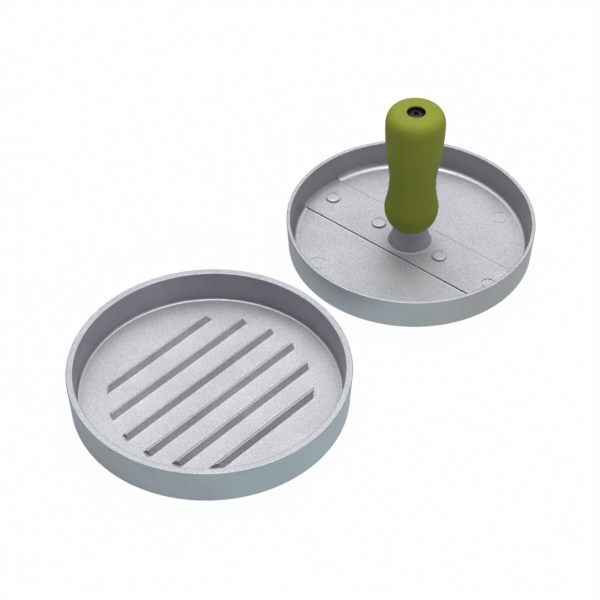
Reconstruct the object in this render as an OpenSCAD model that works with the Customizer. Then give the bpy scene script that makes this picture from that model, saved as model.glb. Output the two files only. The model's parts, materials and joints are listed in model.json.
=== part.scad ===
// Burger press: a cast aluminium mould with grill ridges, and a loose cast press half with a
// soft-grip handle that is held by one long screw. The two halves stand side by side.
// Millimetres, +Z up. The origin is the centre of the mould's underside, and +X runs to the
// middle of the press half.

/* [Mould] */
// Diameter of the mould across its rim
mould_d = 120; // [100:1:160]
// Height of the mould
mould_h = 17.5; // [14:0.5:30]
// Width of the mould's rim
mould_rim_w = 3; // [2:0.1:5]
// Thickness of the mould's floor
mould_floor_t = 2.5; // [2:0.1:4]
// Fillet between the mould's floor and its wall
mould_fillet = 1.3; // [0.8:0.1:4]
// How far each outer wall leans in from its rim to its foot
outer_draft = 1; // [0.5:0.1:2]
// How far each inner wall leans in from its rim to its floor
inner_draft = 0.3; // [0.1:0.05:0.6]
// Rounding of the rims' edges
rim_edge = 0.4; // [0.2:0.05:0.6]
// Rounding of the outer edge of each underside
foot_edge = 0.7; // [0.3:0.1:1.5]

/* [Grill ridges] */
// Distance from one ridge to the next
ridge_pitch = 13; // [8:0.5:20]
// Width of a ridge at its root
ridge_w = 4.4; // [3:0.1:6]
// Height of a ridge
ridge_h = 2.5; // [1.5:0.1:4]
// Width of the flat along the top of a ridge
ridge_crest_w = 0.5; // [0.3:0.1:1.2]
// Plain border between the wall's foot and the ends of the ridges
ridge_border = 13.2; // [8:0.2:18]

/* [Press half] */
// Space between the two rims where the halves stand side by side
rim_gap = 12.2; // [5:0.1:40]
// How far the press half is turned from the ridges of the mould, in degrees
press_turn = 3.6; // [0:0.1:90]
// Gap all round between the press half's rim and the mould's wall when it is in use
nest_gap = 0.7; // [0.4:0.1:1.5]
// Height of the press plate, from its underside to its rim
press_h = 15.5; // [12:0.5:25]
// Width of the press plate's rim
press_rim_w = 1.8; // [1.4:0.1:3]
// Thickness of the press plate's floor
press_floor_t = 1.9; // [1.6:0.1:4]
// Fillet between the press plate's floor and its wall
press_fillet = 3; // [1.5:0.1:5]
// Width of the thicker band across the middle of the press plate
band_w = 24.6; // [22:0.2:36]
// Height of the band above the floor
band_step = 0.6; // [0.3:0.1:1]

/* [Boss] */
// Diameter of the boss at its root
boss_root_d = 19.4; // [18:0.2:22]
// Diameter of the boss above its flare
boss_neck_d = 15.8; // [14:0.2:17]
// Diameter of the boss at its top, where the handle stands on it
boss_top_d = 15.4; // [13:0.2:16]
// Height of the boss above the band
boss_h = 10; // [7:0.5:14]
// Height of the flare at the root of the boss
boss_flare_h = 5.2; // [3:0.2:6]
// Width of the fine fillet round the root of the boss
boss_fillet = 0.6; // [0.3:0.1:1]

/* [Handle] */
// Length of the handle
grip_h = 63.5; // [60:0.5:75]
// Diameter of the handle at its foot
grip_foot_d = 15; // [13.5:0.5:16]
// Diameter of the lower bulb
grip_bulb_d = 24.4; // [22:0.2:30]
// Height of the middle of the lower bulb
grip_bulb_z = 10.4; // [8:0.2:13]
// Diameter of the waist
grip_waist_d = 20.8; // [18:0.2:22]
// Height of the waist
grip_waist_z = 27.8; // [22:0.5:34]
// Diameter of the upper bulb
grip_top_d = 26.4; // [23:0.2:32]
// Height of the crown, from the middle of the upper bulb to the flat top
grip_crown_h = 6.9; // [5:0.1:12]
// Diameter of the flat top
grip_flat_d = 17; // [14:0.5:18]
// Thickness of the soft skin over the hard core
skin_t = 2; // [1.2:0.1:2.5]

/* [Screw] */
// Diameter of the screw's thread
screw_d = 4; // [3:0.5:5]
// How far the screw reaches into the boss
screw_hold = 5.9; // [4:0.1:8]
// Diameter of the screw's head
head_d = 7.5; // [7:0.1:8]
// Height of the screw's head
head_h = 2.6; // [2:0.1:3.2]
// How far the head lies below the top of the handle
head_sink = 0.9; // [0.7:0.1:3]
// Diameter of the washer
washer_d = 7.7; // [7.2:0.1:8]
// Thickness of the washer
washer_t = 0.8; // [0.5:0.1:1.2]

/* [Hidden] */
$fn = 144;
// What a cut runs past the face that it starts from
over = 1;
// Angle between two points of a rounded corner
corner_step = 15;
// Points along each bend of the handle
bend_steps = 9;

// Marks of the pins that push a casting out of its die
pin_mark_d = 7;
pin_mark_h = 1;
pin_mark_chamfer = 0.3;
// Width of the rim left round the land in a raised mark's top
pin_rim_w = 1;
pin_land_sink = 0.2;
sunk_mark_d = 8;
sunk_mark_h = 0.25;
// Diameter of the one sunk mark on the band
band_mark_d = 6.6;
// How far the marks' circle lies inside the foot of the wall
pin_border = 9.2;
// Space between the boss and the marks beside it
pin_gap = 4.3;
// How far the band's row of marks lies beside its middle, and how far it is turned from it, in degrees
pin_row_aside = 0.6;
pin_row_turn = 1;
marks_round = 6;

// Fits round the screw
screw_play = 0.2;
washer_play = 0.15;
head_hole_d = 8.2;
tap_spare = 1.2;
tip_chamfer = 0.6;
head_dome_h = 1.3;
driver_slot_w = 1.1;
driver_slot_l = 4.4;
driver_depth = 1.9;
driver_tip_d = 1.6;

// Where the soft skin turns into the screw hole, and the core's collar under it
skin_lip = 0.6;
skin_lip_edge = 0.25;
collar_w = 1.4;

// How full each bend of the handle's outline is, as shares of the bend's own height or width
foot_start_share = 0.12;
foot_out_share = 0.46;
bulb_below_share = 0.55;
bulb_above_share = 0.16;
waist_below_share = 0.7;
waist_above_share = 0.08;
top_below_share = 0.52;
top_above_share = 0.82;
flat_edge_share = 0.4;

// Radii and heights of the mould
mould_r = mould_d / 2;
mould_foot_r = mould_r - outer_draft;
dish_rim_r = mould_r - mould_rim_w;
dish_floor_r = dish_rim_r - inner_draft;

// Radii and heights of the press plate, in its own frame: underside at 0, axis at the origin
press_r = dish_rim_r - nest_gap;
press_foot_r = press_r - outer_draft;
press_rim_r = press_r - press_rim_w;
press_floor_r = press_rim_r - inner_draft;
band_z = press_floor_t + band_step;
boss_top_z = band_z + boss_h;
pin_circle_r = press_floor_r - pin_border;
inner_pin_r = boss_root_d / 2 + pin_gap + pin_mark_d / 2;
pin_land_r = pin_mark_d / 2 - pin_mark_chamfer - pin_rim_w;

// Ridges of both halves
ridge_circle_r = dish_floor_r - ridge_border;
ridge_rows = floor((ridge_circle_r - ridge_w) / ridge_pitch + 0.5);

// Where the press half stands
press_x = mould_r + rim_gap + press_r;
press_z = ridge_h;

// Heights in the handle, from its foot
grip_top_z = grip_h - grip_crown_h;
head_top_z = grip_h - head_sink;
head_seat_z = head_top_z - head_h;
washer_seat_z = head_seat_z - washer_t;
collar_top_z = grip_h - skin_lip;
screw_l = head_seat_z + screw_hold;
screw_tip_z = head_seat_z - screw_l;
head_hole_r = head_hole_d / 2;
collar_r = head_hole_r + collar_w;
shank_hole_r = screw_d / 2 + screw_play;
tap_r = screw_d / 2;

cast = [0.79, 0.80, 0.82];
green = [0.52, 0.60, 0.15];
black = [0.06, 0.06, 0.06];

// The corner c between a and b, rounded with radius r: points on the arc that touches both sides
function corner(a, c, b, r) =
    let (
        ua = (a - c) / norm(a - c),
        ub = (b - c) / norm(b - c),
        half = acos(ua * ub) / 2,
        middle = c + (ua + ub) / norm(ua + ub) * r / sin(half),
        from = c + ua * r / tan(half) - middle,
        to = c + ub * r / tan(half) - middle,
        start = atan2(from[1], from[0]),
        turn = atan2(from[0] * to[1] - from[1] * to[0], from * to),
        steps = max(1, ceil(abs(turn) / corner_step))
    )
    [for (i = [0:steps]) middle + r * [cos(start + turn * i / steps), sin(start + turn * i / steps)]];

// An outline of [x, y, radius] corners with each corner rounded, and a radius of 0 left sharp
function rounded(corners) =
    [for (i = [0:len(corners) - 1])
        let (
            n = len(corners),
            c = corners[i],
            a = corners[(i + n - 1) % n],
            b = corners[(i + 1) % n]
        )
        each c[2] == 0 ? [[c[0], c[1]]] : corner([a[0], a[1]], [c[0], c[1]], [b[0], b[1]], c[2])];

// A Bezier bend from a to d, without its first point
function bend(a, b, c, d) =
    [for (i = [1:bend_steps])
        let (t = i / bend_steps, s = 1 - t)
        s * s * s * a + 3 * s * s * t * b + 3 * s * t * t * c + t * t * t * d];

function reversed(list) = [for (i = [len(list) - 1:-1:0]) list[i]];

// The handle's outline from its foot to the edge of its flat top, drawn in by inset: foot, lower
// bulb, waist, upper bulb and flat top, with the outline upright at the bulbs and the waist
function handle_outline(inset) =
    let (
        foot = [grip_foot_d / 2 - inset, 0],
        bulb = [grip_bulb_d / 2 - inset, grip_bulb_z],
        waist = [grip_waist_d / 2 - inset, grip_waist_z],
        top = [grip_top_d / 2 - inset, grip_top_z],
        flat = [grip_flat_d / 2 - inset, grip_h - inset],
        rise = waist[1] - bulb[1],
        swell = top[1] - waist[1],
        crown = flat[1] - top[1]
    )
    concat(
        [foot],
        bend(foot, [foot[0] + foot_out_share * (bulb[0] - foot[0]), foot_start_share * bulb[1]],
            [bulb[0], bulb[1] * (1 - bulb_below_share)], bulb),
        bend(bulb, [bulb[0], bulb[1] + bulb_above_share * rise],
            [waist[0], waist[1] - waist_below_share * rise], waist),
        bend(waist, [waist[0], waist[1] + waist_above_share * swell],
            [top[0], top[1] - top_below_share * swell], top),
        bend(top, [top[0], top[1] + top_above_share * crown],
            [flat[0] + flat_edge_share * (top[0] - flat[0]), flat[1]], flat)
    );

// A shallow round dish: outer wall and inner wall with draft, rounded rim and foot, floor fillet
module dish(rim_r, foot_r, height, inner_rim_r, inner_floor_r, floor_t, fillet) {
    rotate_extrude()
        polygon(rounded([
            [0, 0, 0],
            [foot_r, 0, foot_edge],
            [rim_r, height, rim_edge],
            [inner_rim_r, height, rim_edge],
            [inner_floor_r, floor_t, fillet],
            [0, floor_t, 0]
        ]));
}

// One grill ridge along X, standing on z = 0, before its ends are cut. Its two slopes run on into
// the floor as far as root.
module ridge(length, root) {
    root_half_w = ridge_w / 2 + root * (ridge_w - ridge_crest_w) / 2 / ridge_h;
    rotate([90, 0, 90])
        translate([0, 0, -length / 2])
            linear_extrude(length)
                polygon([
                    [-root_half_w, -root],
                    [root_half_w, -root],
                    [ridge_crest_w / 2, ridge_h],
                    [-ridge_crest_w / 2, ridge_h]
                ]);
}

// The set of parallel ridges, their ends cut upright on one circle
module grill(root) {
    intersection() {
        union()
            for (i = [-ridge_rows:ridge_rows - 1])
                translate([0, (i + 0.5) * ridge_pitch, 0])
                    ridge(2 * (ridge_circle_r + over), root);
        translate([0, 0, -root - over])
            cylinder(h = root + ridge_h + 2 * over, r = ridge_circle_r);
    }
}

// Cutter for the shallow round marks that the ejector pins leave, on z = 0 and sunk below it
module sunk_mark(d) {
    translate([0, 0, -sunk_mark_h])
        cylinder(h = sunk_mark_h + over, d = d, $fn = 48);
}

// A place in the row of marks on the band's face, y along it
module in_pin_row(y) {
    rotate([0, 0, -pin_row_turn])
        translate([-pin_row_aside, y, band_z])
            children();
}

// A raised mark with a chamfered edge and a land sunk in its top
module raised_mark() {
    rotate_extrude($fn = 48)
        polygon([
            [0, -band_step / 2],
            [pin_mark_d / 2, -band_step / 2],
            [pin_mark_d / 2, pin_mark_h - pin_mark_chamfer],
            [pin_mark_d / 2 - pin_mark_chamfer, pin_mark_h],
            [pin_land_r, pin_mark_h],
            [pin_land_r, pin_mark_h - pin_land_sink],
            [0, pin_mark_h - pin_land_sink]
        ]);
}

// The mould: the dish with its ridges, and the sunk marks in its underside
module mould() {
    color(cast)
        difference() {
            union() {
                dish(mould_r, mould_foot_r, mould_h, dish_rim_r, dish_floor_r, mould_floor_t, mould_fillet);
                translate([0, 0, mould_floor_t])
                    grill(mould_floor_t / 2);
            }
            for (i = [0:marks_round - 1])
                rotate([0, 180, 360 / marks_round * (i + 0.5)])
                    translate([pin_circle_r, 0, 0])
                        sunk_mark(sunk_mark_d);
        }
}

// The band across the press plate, let into the floor and the wall
module band() {
    intersection() {
        translate([-band_w / 2, -press_rim_r, press_floor_t / 2])
            cube([band_w, 2 * press_rim_r, band_z - press_floor_t / 2]);
        cylinder(h = press_h, r = (press_floor_r + press_foot_r) / 2);
    }
}

// Cutter that takes the floor's fillet away at both ends of the band
module band_notch() {
    intersection() {
        translate([-band_w / 2, -press_rim_r, band_z])
            cube([band_w, 2 * press_rim_r, press_fillet + press_floor_t - band_z]);
        cylinder(h = press_h, r = press_floor_r);
    }
}

// The boss: a fine fillet and a flare at its root, then a slightly tapered neck. The fillet's slope
// runs on a little way into the band.
module boss() {
    rotate_extrude($fn = 96)
        polygon([
            [0, press_floor_t / 2],
            [boss_root_d / 2 + boss_fillet * 1.5, press_floor_t / 2],
            [boss_root_d / 2 + boss_fillet * 1.5, band_z - boss_fillet / 4],
            [boss_root_d / 2, band_z + boss_fillet / 2],
            [boss_neck_d / 2, band_z + boss_flare_h],
            [boss_top_d / 2, boss_top_z],
            [0, boss_top_z]
        ]);
}

// Everything of the press half is moved from its own frame to where it stands
module standing() {
    translate([press_x, 0, press_z])
        rotate([0, 0, press_turn])
            children();
}

// The handle's own frame starts at the top of the boss
module on_boss() {
    standing()
        translate([0, 0, boss_top_z])
            children();
}

// The press plate: dish, band, boss, ejector marks and the ridges below
module press_plate() {
    color(cast)
        standing()
            difference() {
                union() {
                    difference() {
                        dish(press_r, press_foot_r, press_h, press_rim_r, press_floor_r, press_floor_t,
                            press_fillet);
                        band_notch();
                    }
                    band();
                    boss();
                    for (y = [-inner_pin_r, inner_pin_r, pin_circle_r])
                        in_pin_row(y)
                            raised_mark();
                    mirror([0, 0, 1])
                        grill(press_floor_t / 2);
                }
                in_pin_row(-pin_circle_r)
                    sunk_mark(band_mark_d);
                for (a = [-30, 30, 150, 210])
                    rotate([0, 0, a])
                        translate([pin_circle_r, 0, press_floor_t])
                            sunk_mark(sunk_mark_d);
                translate([0, 0, boss_top_z + screw_tip_z - tap_spare])
                    cylinder(h = boss_h + press_h, r = tap_r, $fn = 48);
            }
}

// The hard core: the handle's outline less the skin, with a collar round the screw's head
module handle_core() {
    color(black)
        on_boss()
            rotate_extrude($fn = 96)
                polygon(concat(
                    [[shank_hole_r, 0]],
                    handle_outline(skin_t),
                    [
                        [collar_r, grip_h - skin_t],
                        [collar_r, collar_top_z],
                        [head_hole_r, collar_top_z],
                        [head_hole_r, washer_seat_z],
                        [shank_hole_r, washer_seat_z]
                    ]
                ));
}

// The soft skin, moulded over the core and turned in at the top round the screw hole
module grip_skin() {
    color(green)
        on_boss()
            rotate_extrude()
                polygon(concat(
                    handle_outline(0),
                    [
                        [head_hole_r + skin_lip_edge, grip_h],
                        [head_hole_r, grip_h - skin_lip_edge],
                        [head_hole_r, collar_top_z],
                        [collar_r, collar_top_z],
                        [collar_r, grip_h - skin_t]
                    ],
                    reversed(handle_outline(skin_t))
                ));
}

// The flat washer under the screw's head
module washer() {
    color("silver")
        on_boss()
            translate([0, 0, washer_seat_z])
                rotate_extrude($fn = 64)
                    polygon([
                        [screw_d / 2 + washer_play, 0],
                        [washer_d / 2, 0],
                        [washer_d / 2, washer_t],
                        [screw_d / 2 + washer_play, washer_t]
                    ]);
}

// The long machine screw: domed head with a cross recess, plain shank and chamfered tip
module screw() {
    color(black)
        on_boss()
            difference() {
                rotate_extrude($fn = 64)
                    polygon(concat(
                        [
                            [0, screw_tip_z],
                            [screw_d / 2 - tip_chamfer, screw_tip_z],
                            [screw_d / 2, screw_tip_z + tip_chamfer],
                            [screw_d / 2, head_seat_z],
                            [head_d / 2, head_seat_z],
                            [head_d / 2, head_top_z - head_dome_h]
                        ],
                        bend([head_d / 2, head_top_z - head_dome_h], [head_d / 2, head_top_z - head_dome_h / 2],
                            [head_d / 3, head_top_z], [0, head_top_z])
                    ));
                intersection() {
                    translate([0, 0, head_top_z - driver_depth])
                        linear_extrude(driver_depth + over)
                            for (a = [0, 90])
                                rotate(a)
                                    square([driver_slot_l, driver_slot_w], center = true);
                    translate([0, 0, head_top_z - driver_depth])
                        cylinder(h = driver_depth + over, d1 = driver_tip_d, d2 = driver_slot_l + driver_tip_d,
                            $fn = 48);
                }
            }
}

mould();
press_plate();
handle_core();
grip_skin();
washer();
screw();
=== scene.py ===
"""A burger press in two loose cast halves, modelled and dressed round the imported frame.

The frame gives the places and the main sizes. The two castings, the soft handle, its core, the washer
and the screw are each modelled here again with fine edges, and get finishes made of shader nodes.
Lengths in the code are millimetres, and the meshes are in metres.
"""

import json
import logging
import math
from contextlib import contextmanager
from dataclasses import dataclass
from enum import Enum
from typing import Callable, ClassVar, Iterator, Optional, Sequence, Union

import bmesh
import bpy
from mathutils import Matrix, Vector


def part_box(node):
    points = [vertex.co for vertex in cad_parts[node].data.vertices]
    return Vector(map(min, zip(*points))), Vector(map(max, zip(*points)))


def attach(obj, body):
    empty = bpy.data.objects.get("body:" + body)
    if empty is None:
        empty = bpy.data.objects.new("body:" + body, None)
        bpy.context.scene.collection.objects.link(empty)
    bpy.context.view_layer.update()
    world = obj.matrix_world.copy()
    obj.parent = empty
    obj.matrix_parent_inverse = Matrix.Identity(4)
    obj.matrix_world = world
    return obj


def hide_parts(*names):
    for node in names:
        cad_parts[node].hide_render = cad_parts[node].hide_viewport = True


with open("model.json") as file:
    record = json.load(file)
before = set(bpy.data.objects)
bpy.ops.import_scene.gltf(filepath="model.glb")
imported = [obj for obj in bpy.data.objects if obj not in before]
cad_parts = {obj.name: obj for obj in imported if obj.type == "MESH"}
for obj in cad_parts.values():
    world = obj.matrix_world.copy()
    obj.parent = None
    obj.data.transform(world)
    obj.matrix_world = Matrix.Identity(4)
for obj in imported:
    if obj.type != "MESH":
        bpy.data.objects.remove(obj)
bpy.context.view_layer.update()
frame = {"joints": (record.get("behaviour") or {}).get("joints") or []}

MM = 0.001
FULL_TURN = 2 * math.pi
PRESS_TURN = 3.6
LOG = logging.getLogger("burger_press")

Place = tuple[float, float]
Point = tuple[float, float, float]
Knot = tuple[Point, Point, Point]
Colour = tuple[float, float, float, float]
Socket = bpy.types.NodeSocket
Value = Union[float, Socket]


class Body(Enum):
    """The bodies of the frame that pieces ride on."""

    MOULD = "mould_body"
    CARRIER = "lift_carrier"
    PRESS = "press_half"


class Slot(Enum):
    """The record's material slots."""

    CAST_ALUMINIUM = "cast_aluminium"
    CORE_PLASTIC = "core_plastic"
    SOFT_GRIP = "soft_grip"
    PLATED_STEEL = "plated_steel"
    BLACK_STEEL = "black_steel"


class Cut(Enum):
    """How one solid acts on another."""

    UNITE = "UNION"
    SUBTRACT = "DIFFERENCE"


class Side(Enum):
    """A side of a plate, and the way that it looks."""

    TOP = 1
    UNDERSIDE = -1


class Part(Enum):
    """What can be selected in a mesh."""

    VERT = "verts"
    EDGE = "edges"
    FACE = "faces"


def free_hand() -> None:
    """Leaves edit mode and deselects everything."""
    if bpy.context.object and bpy.context.object.mode != "OBJECT":
        bpy.ops.object.mode_set(mode="OBJECT")
    bpy.ops.object.select_all(action="DESELECT")


def on_circle(radius: float, angle: float) -> Place:
    """Gives the place on a circle about the origin at an angle in radians."""
    return radius * math.cos(angle), radius * math.sin(angle)


class Workpiece:
    """One mesh piece on the bench. Lengths go in as millimetres."""

    def __init__(self, obj: bpy.types.Object, name: str) -> None:
        """Takes an object over and names it.

        Args:
            obj: The object to work on.
            name: Its name in the scene.
        """
        self.obj = obj
        self.obj.name = name
        self.obj.data.name = name

    @classmethod
    def cylinder(cls, name: str, radius: float, low: float, high: float, sides: int = 288,
                 at: Place = (0.0, 0.0)) -> "Workpiece":
        """Adds an upright cylinder.

        Args:
            name: Name of the piece.
            radius: Its radius.
            low: Height of its lower end.
            high: Height of its upper end.
            sides: How many flats stand for the circle.
            at: Where its axis stands.

        Returns:
            The piece, with its place in its mesh.
        """
        free_hand()
        bpy.ops.mesh.primitive_cylinder_add(
            vertices=sides, radius=radius * MM, depth=(high - low) * MM,
            location=(at[0] * MM, at[1] * MM, (low + high) / 2 * MM), end_fill_type="NGON")
        piece = cls(bpy.context.object, name)
        piece.settle()
        return piece

    @classmethod
    def block(cls, name: str, size: Point, centre: Point) -> "Workpiece":
        """Adds a block.

        Args:
            name: Name of the piece.
            size: Its length along each axis.
            centre: Its middle.

        Returns:
            The piece, with its place in its mesh.
        """
        free_hand()
        bpy.ops.mesh.primitive_cube_add(size=1, location=Vector(centre) * MM)
        bpy.context.object.scale = Vector(size) * MM
        piece = cls(bpy.context.object, name)
        piece.settle()
        return piece

    @classmethod
    def outline(cls, name: str, knots: Sequence[Knot], steps: int) -> "Workpiece":
        """Draws an open smooth outline in the XZ plane and turns it into a row of edges.

        Args:
            name: Name of the piece.
            knots: For each knot, its handle before, itself and its handle after.
            steps: Edges from one knot to the next.

        Returns:
            The outline as a mesh of edges alone.
        """
        free_hand()
        bpy.ops.curve.primitive_bezier_curve_add(location=(0, 0, 0))
        curve = bpy.context.object
        curve.data.dimensions = "3D"
        curve.data.resolution_u = steps
        spline = curve.data.splines[0]
        spline.bezier_points.add(len(knots) - len(spline.bezier_points))
        for point, (before, here, after) in zip(spline.bezier_points, knots):
            point.handle_left_type = "FREE"
            point.handle_right_type = "FREE"
            point.handle_left = Vector(before) * MM
            point.co = Vector(here) * MM
            point.handle_right = Vector(after) * MM
        bpy.ops.object.convert(target="MESH")
        return cls(bpy.context.object, name)

    def take(self) -> None:
        """Makes this the one selected and active object."""
        free_hand()
        self.obj.select_set(True)
        bpy.context.view_layer.objects.active = self.obj

    def settle(self) -> None:
        """Puts the object's place, turn and size into its mesh."""
        self.take()
        bpy.ops.object.transform_apply(location=True, rotation=True, scale=True)

    def discard(self) -> None:
        """Removes the piece and its mesh."""
        mesh = self.obj.data
        bpy.data.objects.remove(self.obj)
        bpy.data.meshes.remove(mesh)

    @contextmanager
    def edit(self) -> Iterator["Workpiece"]:
        """Opens the mesh with nothing selected, and closes it again."""
        self.take()
        bpy.ops.object.mode_set(mode="EDIT")
        bpy.ops.mesh.select_all(action="DESELECT")
        try:
            yield self
        finally:
            bpy.ops.object.mode_set(mode="OBJECT")

    def pick(self, part: Part, wanted: Callable[..., bool]) -> None:
        """Selects the points, edges or faces that pass a test, and nothing else.

        Args:
            part: Which of the three.
            wanted: Says of one of them whether it is wanted.
        """
        bpy.ops.mesh.select_mode(type=part.name)
        bpy.ops.mesh.select_all(action="DESELECT")
        mesh = bmesh.from_edit_mesh(self.obj.data)
        if part is not Part.VERT:
            mesh.normal_update()
        for item in getattr(mesh, part.value):
            if wanted(item):
                item.select_set(True)
        if part is Part.VERT:
            mesh.select_flush(True)
        bmesh.update_edit_mesh(self.obj.data)

    def pick_level(self, side: Side, at: Optional[Place] = None, least: float = 0.9) -> None:
        """Selects the faces that look up or down.

        Args:
            side: Which way they look.
            at: Where the middle of the wanted face lies, if only one is wanted.
            least: Least upright part of the normal.
        """
        def is_level(face: bmesh.types.BMFace) -> bool:
            centre = face.calc_center_median() / MM
            near = at is None or math.hypot(centre.x - at[0], centre.y - at[1]) < 0.5
            return near and face.normal.z * side.value > least
        self.pick(Part.FACE, is_level)

    def pick_edges(self, test: Callable[[Vector], bool], bend: float = 20.0) -> None:
        """Selects creased edges by the place of their ends.

        Args:
            test: Says from a point in millimetres whether an end may lie there.
            bend: Least angle in degrees between the edge's two faces.
        """
        least = math.radians(bend)
        self.pick(Part.EDGE, lambda edge: edge.calc_face_angle(0.0) > least
                  and all(test(end.co / MM) for end in edge.verts))

    def pick_points(self, test: Callable[[Vector], bool]) -> None:
        """Selects points by place.

        Args:
            test: Says from a point in millimetres whether it is wanted.
        """
        self.pick(Part.VERT, lambda point: test(point.co / MM))

    def pick_ring(self, radius: float, height: float, axis: Place = (0.0, 0.0), bend: float = 20.0) -> None:
        """Selects the creased edges of one level circle.

        Args:
            radius: Radius of the circle.
            height: Its height.
            axis: Where its middle is.
            bend: Least angle in degrees between an edge's two faces.
        """
        def on_ring(point: Vector) -> bool:
            away = math.hypot(point.x - axis[0], point.y - axis[1])
            return abs(away - radius) < 0.03 and abs(point.z - height) < 0.01
        self.pick_edges(on_ring, bend)

    def extrude(self, x: float = 0.0, y: float = 0.0, z: float = 0.0) -> None:
        """Extrudes what is selected by a step."""
        bpy.ops.mesh.extrude_region_move(TRANSFORM_OT_translate={"value": (x * MM, y * MM, z * MM)})

    def draw_on(self, path: Sequence[Place]) -> None:
        """Extrudes an outline's selected end.

        Args:
            path: The radius and the height of each next point.
        """
        mesh = bmesh.from_edit_mesh(self.obj.data)
        here = next(point.co.copy() / MM for point in mesh.verts if point.select)
        for radius, height in path:
            self.extrude(x=radius - here.x, z=height - here.z)
            here = Vector((radius, 0, height))

    def resize(self, x: float = 1.0, y: float = 1.0, z: float = 1.0, about: Point = (0.0, 0.0, 0.0)) -> None:
        """Scales what is selected about a point in millimetres."""
        bpy.ops.transform.resize(value=(x, y, z), center_override=Vector(about) * MM)

    def inset(self, width: float) -> None:
        """Insets the selected faces."""
        bpy.ops.mesh.inset(thickness=width * MM, use_even_offset=True)

    def bevel(self, width: float, segments: int) -> None:
        """Rounds the selected edges."""
        bpy.ops.mesh.bevel(offset=width * MM, segments=segments, affect="EDGES", clamp_overlap=False)

    def bisect(self, at: Point, outwards: Point) -> None:
        """Cuts off all that lies beyond a plane, and closes the cut.

        Args:
            at: A point of the plane.
            outwards: Its normal, towards what is cut off.
        """
        with self.edit():
            bpy.ops.mesh.select_all(action="SELECT")
            bpy.ops.mesh.bisect(plane_co=Vector(at) * MM, plane_no=Vector(outwards).normalized(),
                                use_fill=True, clear_outer=True, threshold=1e-7)

    def spin(self, steps: int) -> None:
        """Spins the outline once round the Z axis, closes the seam and turns the faces outwards."""
        with self.edit():
            bpy.ops.mesh.select_all(action="SELECT")
            bpy.ops.mesh.spin(steps=steps, angle=FULL_TURN, center=(0, 0, 0), axis=(0, 0, 1))
            bpy.ops.mesh.select_all(action="SELECT")
            bpy.ops.mesh.remove_doubles(threshold=1e-6)
            bpy.ops.mesh.normals_make_consistent(inside=False)

    def move(self, x: float = 0.0, y: float = 0.0, z: float = 0.0) -> None:
        """Moves the whole piece."""
        self.obj.location = (x * MM, y * MM, z * MM)
        self.settle()

    def turn(self, degrees: float, axis: str = "Z") -> None:
        """Turns the whole piece about an axis through the origin."""
        self.obj.matrix_world = Matrix.Rotation(math.radians(degrees), 4, axis)
        self.settle()

    def copy(self, name: str) -> "Workpiece":
        """Copies the piece with a mesh of its own."""
        twin = self.obj.copy()
        twin.data = self.obj.data.copy()
        bpy.context.scene.collection.objects.link(twin)
        return Workpiece(twin, name)

    def join(self, others: Sequence["Workpiece"]) -> None:
        """Takes other pieces into this one as they are."""
        self.take()
        for other in others:
            other.obj.select_set(True)
        bpy.ops.object.join()

    def combine(self, how: Cut, other: "Workpiece") -> None:
        """Unites another solid with this one or subtracts it, and uses it up.

        Args:
            how: Whether it is added or taken away.
            other: The solid that acts on this one.
        """
        tool = self.obj.modifiers.new(how.name, "BOOLEAN")
        tool.operation = how.value
        tool.solver = "EXACT"
        tool.object = other.obj
        self.take()
        bpy.ops.object.modifier_apply(modifier=tool.name)
        other.discard()

    def smooth(self, crease: float = 35.0) -> None:
        """Shades the piece smooth up to a crease angle, with large flats kept flat.

        Args:
            crease: Angle in degrees past which an edge stays sharp.
        """
        self.take()
        bpy.ops.object.shade_smooth_by_angle(angle=math.radians(crease))
        evened = self.obj.modifiers.new("evened", "WEIGHTED_NORMAL")
        evened.mode = "FACE_AREA"
        evened.weight = 50
        evened.keep_sharp = True
        bpy.ops.object.modifier_apply(modifier=evened.name)

    def dress(self, material: bpy.types.Material, slot: Slot, body: Body, *nodes: str) -> None:
        """Gives the piece its finish and its place in the frame.

        Args:
            material: The finish.
            slot: The record's slot for it.
            body: The body that the piece rides on.
            nodes: The frame's nodes that it stands for.
        """
        self.obj.data.materials.clear()
        self.obj.data.materials.append(material)
        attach(self.obj, body.value)
        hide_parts(*nodes)
        self.obj.data.calc_loop_triangles()
        LOG.info("%s: %d triangles, %s, on %s", self.obj.name, len(self.obj.data.loop_triangles),
                 slot.value, body.value)


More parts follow.
